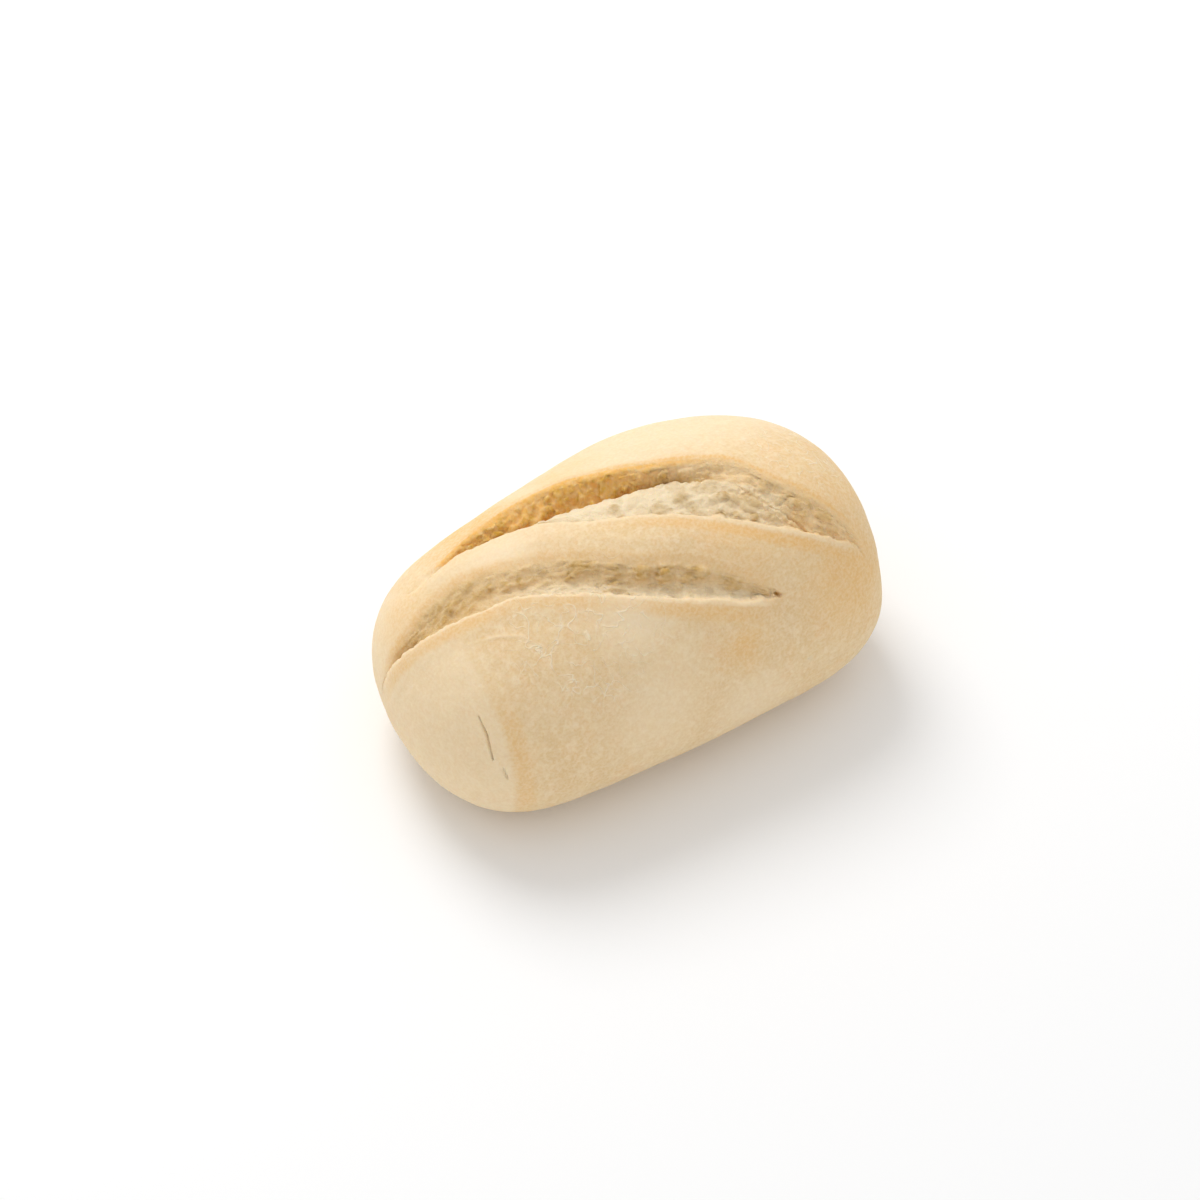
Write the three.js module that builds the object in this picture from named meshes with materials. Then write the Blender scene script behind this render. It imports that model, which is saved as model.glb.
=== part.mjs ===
// A small bread roll: one piece of white, lightly baked bread, longer than it is wide, with a flat
// base, a round end, an end cut square and risen to a shallow dome, and two slanting slashes that
// tore open as it rose. The crust and the torn crumb are one continuous body.
// Millimetres, +Z up. X runs along the roll to its round end and Y to its back.
import * as THREE from 'three';

// Driving dimensions of the loaf before it is slashed
const HALF_LENGTH = 48;
const WAIST_HEIGHT = 16.4; // the widest line of the sides, above the base
const CROWN_HEIGHT = 46.6; // the top at mid length
const CROWN_RISE = 0.13; // share by which the crown is higher at the round end
const FRONT_WIDTH = 28.9; // from the long axis to the front
const BACK_WIDTH = 30.5; // from the long axis to the back
const BACK_SWELL = { share: 0.13, place: 0.28, reach: 0.45 };
const BELLY_DEPTH = 1.22; // depth of the under side's ellipse, as a share of the waist height
const BEND = 1.6; // how far the middle of the long axis bows to the back
const SKEW = -1.3; // how far the round end leans to the front
const ROUND_END_POWER = 3.46; // 2 is an ellipse, more is squarer
const CUT_END_POWER = 2.64;
const CUT_END_OVERSHOOT = 1.3; // length of the dough past its middle, before the end was cut off
const CUT_FACE_RADIUS = 41.2; // the shallow dome of the cut face
const CUT_EDGE_POWER = 12.7; // how tight the edge round the cut face is

// The rear slash. Its lines are pairs: share of the slash's length, and millimetres behind the
// straight line between its ends. Its heights are pairs of share and millimetres.
const REAR_SLASH = {
  left: new THREE.Vector2(-32, 16.4),
  right: new THREE.Vector2(41.5, -19.2),
  backLip: [[0, 0], [0.05, 2.7], [0.12, 5.9], [0.21, 9.4], [0.35, 12.2], [0.52, 11.6], [0.66, 10.9], [0.72, 9.1], [0.77, 6.6], [0.84, 4.5], [1, 0.2]],
  frontLip: [[0, 0], [0.12, 1.7], [0.23, 2.9], [0.35, 1.1], [0.5, 0.6], [0.62, -0.7], [0.76, -2.3], [0.87, -2.4], [1, 0]],
  moundBack: [[0, 0.5], [0.12, 2.4], [0.23, 3.6], [0.26, 5], [0.32, 6.1], [0.42, 7.3], [0.54, 8.3], [0.6, 7.7], [0.7, 5.4], [0.8, 2.6], [0.9, 0.4], [1, -0.5]],
  lipLift: [[0, 0], [0.09, 1], [0.2, 1.7], [0.4, 1.9], [0.68, 1.45], [0.84, 1.15], [1, 0]],
  cleftDepth: [[0, 0], [0.1, 2], [0.25, 3.9], [0.42, 4.3], [0.54, 2.9], [0.62, 1.4], [0.7, 0.2], [1, 0]],
  moundDrop: 1.2,
};

// The front slash, which starts low on the cut end
const FRONT_SLASH = {
  left: new THREE.Vector2(-47, 11),
  right: new THREE.Vector2(20, -22.3),
  backEdge: [[0, 0], [0.07, 0.6], [0.12, 3.1], [0.24, 5.9], [0.4, 5.95], [0.52, 4.9], [0.66, 3.1], [0.75, 3.1], [0.88, 1.7], [1, 0.3]],
  frontLip: [[0, -0.4], [0.06, -2.3], [0.15, -3.05], [0.25, -2.4], [0.34, -1.1], [0.48, -1.85], [0.7, -2.65], [0.88, -1.7], [1, 0]],
  depth: 2.7,
  shoulderDrop: 0.9,
};

// Widths across a slash
const CRUST_EDGE = 1.15; // the torn edge of the crust at the rear slash's back lip
const RIM = 0.7; // inside a front lip, over which it falls
const EDGE = 0.8; // outside a front lip, up to its top
const LIP_ROUND = 3.2; // over which the rear slash's back lip rounds up
const SHOULDER = 4; // over which the crust rounds down into the front slash

// How far the strip of crust between the slashes is puffed up
const STRIP_PUFF = 0.5;

// Mesh: rows along the roll, and columns round it, gathered on the lines of the slashes
const ROWS = 92;
const SIDE_ANGLE = 100; // degrees from the crown to the low side, where the base's columns start
const SLASH_LIMIT = 84; // degrees from the crown that no slash line passes
const LINE_GAP = 1.5; // least degrees between two lines

const smooth = THREE.MathUtils.smoothstep;
const lerp = THREE.MathUtils.lerp;

// Point of the unslashed loaf in the given direction from its middle, on a sphere of radius 1
function loafPoint(direction) {
  const { x, y, z } = direction;
  const along = x < 0 ? -x / CUT_END_OVERSHOOT : x;
  const power = x < 0 ? CUT_END_POWER : ROUND_END_POWER;
  const across = Math.hypot(y, z);
  let reach = (across ** power + along ** power) ** (-1 / power);
  if (x < 0.15) {
    const halfLengths = CUT_FACE_RADIUS / HALF_LENGTH;
    const flatness =
      (x / halfLengths) ** 2 +
      (y * FRONT_WIDTH / CUT_FACE_RADIUS) ** 2 +
      (z * (CROWN_HEIGHT - WAIST_HEIGHT) / CUT_FACE_RADIUS) ** 2;
    const middle = halfLengths - 1;
    const offset = (x * middle) / halfLengths ** 2;
    const inside = (middle / halfLengths) ** 2 - 1;
    const face = (offset + Math.sqrt(Math.max(offset ** 2 - flatness * inside, 0))) / flatness;
    const share = 1 - smooth(x, -0.25, 0.15);
    reach = (reach ** -CUT_EDGE_POWER + share * face ** -CUT_EDGE_POWER) ** (-1 / CUT_EDGE_POWER);
  }
  const length = x * reach;
  const swell = BACK_SWELL.share * Math.exp(-(((length - BACK_SWELL.place) / BACK_SWELL.reach) ** 2));
  const width = y > 0 ? BACK_WIDTH * (1 + swell) : FRONT_WIDTH;
  const crown = (CROWN_HEIGHT - WAIST_HEIGHT) * (1 + CROWN_RISE * length);
  const height = z > 0 ? crown * z * reach : WAIST_HEIGHT * BELLY_DEPTH * z * reach;
  return new THREE.Vector3(
    HALF_LENGTH * length,
    width * y * reach + SKEW * length + BEND * (1 - length ** 2),
    Math.max(WAIST_HEIGHT + height, 0),
  );
}

// Direction on the sphere: turn runs along the roll from the cut end (0) to the round end (pi), and
// angle round it in degrees from the crown, positive to the back
function directionAt(turn, angle) {
  const radians = THREE.MathUtils.degToRad(angle);
  return new THREE.Vector3(
    -Math.cos(turn),
    Math.sin(turn) * Math.sin(radians),
    Math.sin(turn) * Math.cos(radians),
  );
}

// Outward normal of the unslashed loaf
function loafNormal(direction) {
  const step = 0.004;
  const side = new THREE.Vector3(0, 0, 1);
  if (Math.abs(direction.z) > 0.7) side.set(0, 1, 0);
  const first = new THREE.Vector3().crossVectors(direction, side).normalize();
  const second = new THREE.Vector3().crossVectors(direction, first).normalize();
  const difference = (tangent) => {
    const ahead = loafPoint(direction.clone().addScaledVector(tangent, step).normalize());
    const behind = loafPoint(direction.clone().addScaledVector(tangent, -step).normalize());
    return ahead.sub(behind);
  };
  const normal = new THREE.Vector3().crossVectors(difference(first), difference(second)).normalize();
  return normal.dot(direction) < 0 ? normal.negate() : normal;
}

// Where a point lies on a slash: share of its length from the left end, and millimetres behind the
// line between its ends
function slashPlace(slash, point) {
  const line = slash.right.clone().sub(slash.left);
  const length = line.length();
  line.divideScalar(length);
  const offset = new THREE.Vector2(point.x, point.y).sub(slash.left);
  return { share: offset.dot(line) / length, behind: offset.x * -line.y + offset.y * line.x };
}

// Height at a place on a smooth line through the given [place, height] pairs, which doesn't
// overshoot them
function smoothLine(pairs, place) {
  if (place <= pairs[0][0]) return pairs[0][1];
  const slope = (i) => (pairs[i][1] - pairs[i - 1][1]) / Math.max(pairs[i][0] - pairs[i - 1][0], 1e-6);
  const joined = (first, second) => (first * second <= 0 ? 0 : (2 * first * second) / (first + second));
  for (let i = 1; i < pairs.length; i += 1) {
    const [start, low] = pairs[i - 1];
    const [end, high] = pairs[i];
    if (place <= end) {
      const gap = Math.max(end - start, 1e-6);
      const startSlope = i > 1 ? joined(slope(i - 1), slope(i)) : slope(i);
      const endSlope = i < pairs.length - 1 ? joined(slope(i), slope(i + 1)) : slope(i);
      const share = (place - start) / gap;
      const rest = 1 - share;
      return (
        low * rest * rest * (1 + 2 * share) +
        high * share * share * (3 - 2 * share) +
        startSlope * gap * share * rest * rest -
        endSlope * gap * share * share * rest
      );
    }
  }
  return pairs[pairs.length - 1][1];
}

const rearBack = (share) => smoothLine(REAR_SLASH.backLip, share);
const rearFront = (share) => smoothLine(REAR_SLASH.frontLip, share);
const frontBack = (share) => smoothLine(FRONT_SLASH.backEdge, share);
const frontFront = (share) => smoothLine(FRONT_SLASH.frontLip, share);

// Places across the rear slash, as distances in front of its back lip: the cleft under its wall, the
// mound of crumb in front of the cleft, and the front lip
function rearPlaces(share) {
  const width = Math.max(rearBack(share) - rearFront(share), 0);
  const moundPlace = Math.min(rearBack(share) - smoothLine(REAR_SLASH.moundBack, share), width - 0.9);
  const cleft = Math.max(moundPlace * 0.8, CRUST_EDGE + 0.25);
  return { cleft, mound: Math.max(moundPlace, cleft + 0.35), width };
}

// The rear slash: the crust behind it stands up as a lip over a steep wall of crumb, a narrow cleft
// runs under the wall, and a mound of crumb rises from the cleft to the front lip. Towards the round
// end the cleft ends, and the crumb is one shelf that slopes from the back lip to the front lip
function rearSlashHeight({ share, behind }) {
  const open = smooth(share, -0.01, 0.04) * (1 - smooth(share, 0.93, 1));
  if (open === 0) return 0;
  const { cleft, mound, width } = rearPlaces(share);
  const lift = smoothLine(REAR_SLASH.lipLift, share);
  const depth = smoothLine(REAR_SLASH.cleftDepth, share);
  const drop = REAR_SLASH.moundDrop * Math.min(open, smooth(share, -0.05, 0.1));
  const shelf = smooth(share, 0.58, 0.72);
  const behindLip = Math.max(width - RIM, mound + 0.3);
  const lip = Math.max(width, behindLip + 0.15);
  return smoothLine([
    [-11, 0],
    [-LIP_ROUND, lift * 0.75],
    [0, lift],
    [CRUST_EDGE, lift - lerp(1, 0.8, shelf) * open],
    [cleft, -depth],
    [lerp(cleft, mound, 0.4), -depth],
    [mound, -drop * lerp(1, 0.3, shelf)],
    [lerp(mound, behindLip, 0.5), -drop * lerp(0.4, 0.6, shelf)],
    [behindLip, -drop * 0.8],
    [lip, 0.2 * open],
    [lip + EDGE, 0.3 * open],
    [lip + 4, 0],
  ], rearBack(share) - behind);
}

// The front slash: the strip behind it rounds down into the crumb, which ends under a crisp lip
function frontSlashHeight({ share, behind }) {
  const open = smooth(share, 0, 0.05) * (1 - smooth(share, 0.93, 1));
  if (open === 0) return 0;
  const width = frontBack(share) - frontFront(share);
  const depth = FRONT_SLASH.depth * open * lerp(0.72, 1, smooth(share, 0.08, 0.2)) * lerp(1, 0.7, smooth(share, 0.6, 0.95));
  return smoothLine([
    [-SHOULDER, 0],
    [-1.5, -FRONT_SLASH.shoulderDrop * 0.28 * open],
    [0, -FRONT_SLASH.shoulderDrop * open],
    [width * 0.35, -depth * 0.8],
    [width * 0.6, -depth],
    [width * 0.82, -depth * 0.92],
    [width - RIM / 2, -depth * 0.65],
    [width, 0.25 * open],
    [width + EDGE, 0.45 * open],
    [width + 5, 0],
  ], frontBack(share) - behind);
}

// Point of the finished surface in the given direction
function rollPoint(direction) {
  const point = loafPoint(direction);
  const upper = smooth(point.z, 8, 15);
  if (upper === 0) return point;
  const rear = slashPlace(REAR_SLASH, point);
  const front = slashPlace(FRONT_SLASH, point);
  const onStrip =
    smooth(rearFront(rear.share) - rear.behind, 0, 5) *
    smooth(front.behind - frontBack(front.share), 0, 6) *
    smooth(point.x, -44, -30) *
    (1 - smooth(point.x, 15, 34));
  const height = upper * (rearSlashHeight(rear) + frontSlashHeight(front)) + STRIP_PUFF * onStrip;
  return point.addScaledVector(loafNormal(direction), height);
}

// Angle at which the row of the given turn crosses the line a bow behind a slash's ends
function lineAngle(turn, slash, bow) {
  let low = -SLASH_LIMIT;
  let high = SLASH_LIMIT;
  for (let i = 0; i < 20; i += 1) {
    const angle = (low + high) / 2;
    const { share, behind } = slashPlace(slash, loafPoint(directionAt(turn, angle)));
    if (behind > bow(share)) high = angle;
    else low = angle;
  }
  return (low + high) / 2;
}

// The lines along the slashes that columns of the mesh follow, from the front to the back, each with
// the number of columns between it and the line before it
const LINES = [
  [10, FRONT_SLASH, (share) => frontFront(share) - 5],
  [2, FRONT_SLASH, (share) => frontFront(share) - EDGE],
  [1, FRONT_SLASH, (share) => frontFront(share)],
  [1, FRONT_SLASH, (share) => frontFront(share) + RIM],
  [5, FRONT_SLASH, (share) => frontBack(share)],
  [3, FRONT_SLASH, (share) => frontBack(share) + SHOULDER],
  [3, REAR_SLASH, (share) => rearFront(share) - EDGE],
  [1, REAR_SLASH, (share) => rearFront(share)],
  [1, REAR_SLASH, (share) => rearFront(share) + RIM],
  [6, REAR_SLASH, (share) => rearBack(share) - rearPlaces(share).mound],
  [2, REAR_SLASH, (share) => rearBack(share) - rearPlaces(share).cleft],
  [3, REAR_SLASH, (share) => rearBack(share) - CRUST_EDGE],
  [1, REAR_SLASH, (share) => rearBack(share)],
  [2, REAR_SLASH, (share) => rearBack(share) + LIP_ROUND],
  [2, REAR_SLASH, (share) => rearBack(share) + 9],
];
const SIDE_COLUMNS = 9;
const BASE_COLUMNS = 6;

// Angles between which a row's columns are spaced, from the base round the front, over the crown and
// down the back
function spanAngles(turn) {
  const angles = LINES.map(([, slash, bow]) => lineAngle(turn, slash, bow));
  for (let i = 1; i < angles.length; i += 1) {
    angles[i] = Math.max(angles[i], angles[i - 1] + LINE_GAP);
  }
  angles[angles.length - 1] = Math.min(angles[angles.length - 1], SLASH_LIMIT);
  for (let i = angles.length - 2; i >= 0; i -= 1) {
    angles[i] = Math.min(angles[i], angles[i + 1] - LINE_GAP);
  }
  return [-180, -SIDE_ANGLE, ...angles, SIDE_ANGLE, 180];
}

function makeRoll() {
  const spans = [BASE_COLUMNS, ...LINES.map((line) => line[0]), SIDE_COLUMNS, BASE_COLUMNS];
  const columns = spans.reduce((sum, span) => sum + span, 0);
  const geometry = new THREE.SphereGeometry(1, columns, ROWS);
  const { position, uv } = geometry.attributes;
  const angles = new Map();
  for (let i = 0; i < position.count; i += 1) {
    const turn = Math.PI * (1 - uv.getY(i));
    if (!angles.has(turn)) angles.set(turn, spanAngles(turn));
    const ends = angles.get(turn);
    let column = THREE.MathUtils.clamp(uv.getX(i), 0, 1) * columns;
    let span = 0;
    while (span < spans.length - 1 && column > spans[span]) {
      column -= spans[span];
      span += 1;
    }
    const angle = lerp(ends[span], ends[span + 1], column / spans[span]);
    const point = rollPoint(directionAt(turn, angle));
    position.setXYZ(i, point.x, point.y, point.z);
  }
  geometry.computeBoundingBox();
  const centre = geometry.boundingBox.getCenter(new THREE.Vector3());
  geometry.translate(-centre.x, -centre.y, -geometry.boundingBox.min.z);
  geometry.computeVertexNormals();
  return geometry;
}

const crust = new THREE.MeshStandardMaterial({ color: '#e3c795', roughness: 0.75, metalness: 0 });
const roll = new THREE.Mesh(makeRoll(), crust);
roll.name = 'bread_roll';

const group = new THREE.Group();
group.add(roll);

export default group;
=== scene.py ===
"""A small white bread roll, lightly baked, with two slanting slashes torn open across its top."""
import math

import bmesh
import bpy
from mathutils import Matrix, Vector, geometry, noise


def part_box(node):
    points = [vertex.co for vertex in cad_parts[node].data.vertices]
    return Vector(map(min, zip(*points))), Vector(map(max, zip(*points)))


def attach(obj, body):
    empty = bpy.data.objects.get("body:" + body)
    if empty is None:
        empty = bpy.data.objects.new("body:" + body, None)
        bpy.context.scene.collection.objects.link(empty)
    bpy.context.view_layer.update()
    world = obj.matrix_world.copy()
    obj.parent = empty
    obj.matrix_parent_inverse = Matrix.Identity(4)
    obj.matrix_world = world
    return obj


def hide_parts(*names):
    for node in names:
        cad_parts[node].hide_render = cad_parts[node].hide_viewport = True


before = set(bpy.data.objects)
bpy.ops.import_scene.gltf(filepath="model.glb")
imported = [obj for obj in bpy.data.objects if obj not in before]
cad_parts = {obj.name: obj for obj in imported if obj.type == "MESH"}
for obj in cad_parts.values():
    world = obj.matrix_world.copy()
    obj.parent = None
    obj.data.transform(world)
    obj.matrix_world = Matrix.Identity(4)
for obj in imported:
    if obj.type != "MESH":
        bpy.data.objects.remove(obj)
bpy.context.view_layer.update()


# --- The camera ---
# A long lens from above the cut end's left, which shows the cut face, the front side and the top.
CAMERA_AZIMUTH = math.radians(-32.8)
CAMERA_ELEVATION = math.radians(50.0)
CAMERA_DISTANCE = 0.7
CAMERA_TARGET = Vector((0.0, -0.0039, 0.02))

camera_data = bpy.data.cameras.new("camera")
camera_data.lens = 112.6
camera_data.sensor_width = 36
camera_data.shift_x = -0.0228
camera_data.shift_y = 0.0147
camera = bpy.data.objects.new("camera", camera_data)
towards_camera = Vector((
    math.sin(CAMERA_AZIMUTH) * math.cos(CAMERA_ELEVATION),
    -math.cos(CAMERA_AZIMUTH) * math.cos(CAMERA_ELEVATION),
    math.sin(CAMERA_ELEVATION),
))
camera.location = CAMERA_TARGET + CAMERA_DISTANCE * towards_camera
camera.rotation_euler = (-towards_camera).to_track_quat("-Z", "Y").to_euler()
bpy.context.scene.collection.objects.link(camera)
bpy.context.scene.camera = camera


# --- The loaf's form ---
# Dough rolled into a short log, one end cut off square, proved on a flat tray and risen: a flat
# base, elliptical sides, a round end, and a cut face that swelled to a shallow dome. In millimetres.
HALF_LENGTH = 48.0
WAIST_HEIGHT = 16.4
CROWN_HEIGHT = 46.6
CROWN_RISE = 0.13
FRONT_WIDTH = 28.9
BACK_WIDTH = 30.5
SWELL_SHARE = 0.13
SWELL_PLACE = 0.28
SWELL_REACH = 0.45
BELLY_DEPTH = 1.22
BEND = 1.6
SKEW = -1.3
ROUND_END_POWER = 3.46
CUT_END_POWER = 2.64
CUT_END_OVERSHOOT = 1.3
CUT_FACE_RADIUS = 41.2
CUT_EDGE_POWER = 12.7


def smooth(low, high, value):
    share = min(max((value - low) / (high - low), 0.0), 1.0)
    return share * share * (3.0 - 2.0 * share)


def mix(start, end, share):
    return start + (end - start) * share


def body_reach(x, y, z):
    """How far the log reaches in a direction, where 1 is half its length along and across it."""
    along = -x / CUT_END_OVERSHOOT if x < 0 else x
    power = CUT_END_POWER if x < 0 else ROUND_END_POWER
    return (math.hypot(y, z) ** power + along ** power) ** (-1 / power)


def cut_face_reach(x, y, z):
    """How far the domed cut face is in a direction, measured as body_reach is."""
    half_lengths = CUT_FACE_RADIUS / HALF_LENGTH
    flatness = (
        (x / half_lengths) ** 2
        + (y * FRONT_WIDTH / CUT_FACE_RADIUS) ** 2
        + (z * (CROWN_HEIGHT - WAIST_HEIGHT) / CUT_FACE_RADIUS) ** 2
    )
    middle = half_lengths - 1
    offset = x * middle / half_lengths ** 2
    inside = (middle / half_lengths) ** 2 - 1
    return (offset + math.sqrt(max(offset ** 2 - flatness * inside, 0.0))) / flatness


def loaf_point(x, y, z):
    """The unslashed loaf's surface in the direction x, y, z, which has length 1."""
    reach = body_reach(x, y, z)
    if x < 0.15:
        share = 1 - smooth(-0.25, 0.15, x)
        face = cut_face_reach(x, y, z)
        reach = (reach ** -CUT_EDGE_POWER + share * face ** -CUT_EDGE_POWER) ** (-1 / CUT_EDGE_POWER)
    length = x * reach
    width = FRONT_WIDTH
    if y > 0:
        width = BACK_WIDTH * (1 + SWELL_SHARE * math.exp(-((length - SWELL_PLACE) / SWELL_REACH) ** 2))
    height = WAIST_HEIGHT * BELLY_DEPTH * z * reach
    if z > 0:
        height = (CROWN_HEIGHT - WAIST_HEIGHT) * (1 + CROWN_RISE * length) * z * reach
    return Vector((
        HALF_LENGTH * length,
        width * y * reach + SKEW * length + BEND * (1 - length ** 2),
        max(WAIST_HEIGHT + height, 0.0),
    ))


def beside_cut_edge(direction):
    """Millimetres from the cut end's edge, negative on the cut face; far away it is only large."""
    if direction.x > 0:
        return HALF_LENGTH
    return (cut_face_reach(*direction) - body_reach(*direction)) * HALF_LENGTH


def direction_at(turn, angle):
    """turn runs along the roll from the cut end, 0, to the round end, pi; angle goes round it from the
    crown, positive to the back."""
    return Vector((
        -math.cos(turn),
        math.sin(turn) * math.sin(angle),
        math.sin(turn) * math.cos(angle),
    ))


def loaf_normal(direction):
    step = 0.004
    side = Vector((0, 1, 0)) if abs(direction.z) > 0.7 else Vector((0, 0, 1))
    first = direction.cross(side).normalized()
    second = direction.cross(first).normalized()
    slopes = []
    for tangent in (first, second):
        ahead = loaf_point(*(direction + tangent * step).normalized())
        behind = loaf_point(*(direction - tangent * step).normalized())
        slopes.append(ahead - behind)
    normal = slopes[0].cross(slopes[1]).normalized()
    return -normal if normal.dot(direction) < 0 else normal


# --- The slashes ---
# Two cuts made slantwise across the dough, which tore open as the roll rose. The rear one lifted
# its back lip over a wall of crumb, with a mound of crumb pushed up in front of the cleft; the front
# one starts on the cut end and stayed shallow.

# A lip or an edge gives its place for each share of the slash's length, in millimetres behind the
# straight line between the slash's ends; a lift or a depth gives its height so, in millimetres.
REAR_LEFT = Vector((-32.0, 16.4))
REAR_RIGHT = Vector((41.5, -19.2))
REAR_BACK_LIP = ((0, 0), (0.05, 2.7), (0.12, 5.9), (0.21, 9.4), (0.35, 12.2), (0.52, 11.6),
                 (0.66, 10.9), (0.72, 9.1), (0.77, 6.6), (0.84, 4.5), (1, 0.2))
REAR_FRONT_LIP = ((0, 0), (0.12, 1.7), (0.23, 2.9), (0.35, 1.1), (0.5, 0.6), (0.62, -0.7),
                  (0.76, -2.3), (0.87, -2.4), (1, 0))
MOUND_BACK = ((0, 0.5), (0.12, 2.4), (0.23, 3.6), (0.26, 5.0), (0.32, 6.1), (0.42, 7.3), (0.54, 8.3),
              (0.6, 7.7), (0.7, 5.4), (0.8, 2.6), (0.9, 0.4), (1, -0.5))
REAR_LIFT = ((0, 0), (0.09, 1.0), (0.2, 1.7), (0.4, 1.9), (0.68, 1.45), (0.84, 1.15), (1, 0))
CLEFT_DEPTH = ((0, 0), (0.1, 2.0), (0.25, 3.9), (0.42, 4.3), (0.54, 2.9), (0.62, 1.4), (0.7, 0.2),
               (1, 0))
MOUND_DROP = 1.2
CRUST_EDGE = 1.15
FOLD_SPACING = 2.3
FOLD_HEIGHT = 0.14
FRONT_LEFT = Vector((-47.0, 11.0))
FRONT_RIGHT = Vector((20.0, -22.3))
FRONT_BACK_EDGE = ((0, 0), (0.07, 0.6), (0.12, 3.1), (0.24, 5.9), (0.4, 5.95), (0.52, 4.9),
                   (0.66, 3.1), (0.75, 3.1), (0.88, 1.7), (1, 0.3))
FRONT_FRONT_LIP = ((0, -0.4), (0.06, -2.3), (0.15, -3.05), (0.25, -2.4), (0.34, -1.1), (0.48, -1.85),
                   (0.7, -2.65), (0.88, -1.7), (1, 0))
FRONT_DEPTH = 2.7
SHOULDER_DROP = 0.9
SHOULDER = 4.0
STRIP_PUFF = 0.5
RIM = 0.8


def smooth_line(pairs, place):
    """The height at a place on a smooth line through the pairs of place and height."""
    if place <= pairs[0][0]:
        return pairs[0][1]
    for i in range(1, len(pairs)):
        if place <= pairs[i][0]:
            (start, low), (end, high) = pairs[i - 1], pairs[i]
            gap = max(end - start, 1e-6)
            slope = (high - low) / gap
            before = slope
            after = slope
            if i > 1:
                before = (low - pairs[i - 2][1]) / max(start - pairs[i - 2][0], 1e-6)
            if i < len(pairs) - 1:
                after = (pairs[i + 1][1] - high) / max(pairs[i + 1][0] - end, 1e-6)
            start_slope = 0.0 if before * slope <= 0 else 2 * before * slope / (before + slope)
            end_slope = 0.0 if after * slope <= 0 else 2 * after * slope / (after + slope)
            share = (place - start) / gap
            rest = 1 - share
            return (
                low * rest * rest * (1 + 2 * share)
                + high * share * share * (3 - 2 * share)
                + start_slope * gap * share * rest * rest
                - end_slope * gap * share * share * rest
            )
    return pairs[-1][1]


def slash_place(left, right, x, y):
    """Share of a slash's length from its left end, and millimetres behind the line of its ends."""
    line = right - left
    length = line.length
    line /= length
    offset_x = x - left.x
    offset_y = y - left.y
    return (offset_x * line.x + offset_y * line.y) / length, offset_y * line.x - offset_x * line.y


def rear_edges(share):
    """The rear slash's places, as distances in front of its back lip: cleft, mound and front lip."""
    back = smooth_line(REAR_BACK_LIP, share)
    width = max(back - smooth_line(REAR_FRONT_LIP, share), 0.0)
    mound = min(back - smooth_line(MOUND_BACK, share), width - 0.9)
    cleft = max(mound * 0.8, CRUST_EDGE + 0.25)
    return cleft, max(mound, cleft + 0.35), width


def band(distance, start, end, edge):
    """1 between start and end, fading to 0 within an edge outside them."""
    return smooth(start - edge, start, distance) * (1 - smooth(end, end + edge, distance))


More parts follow.
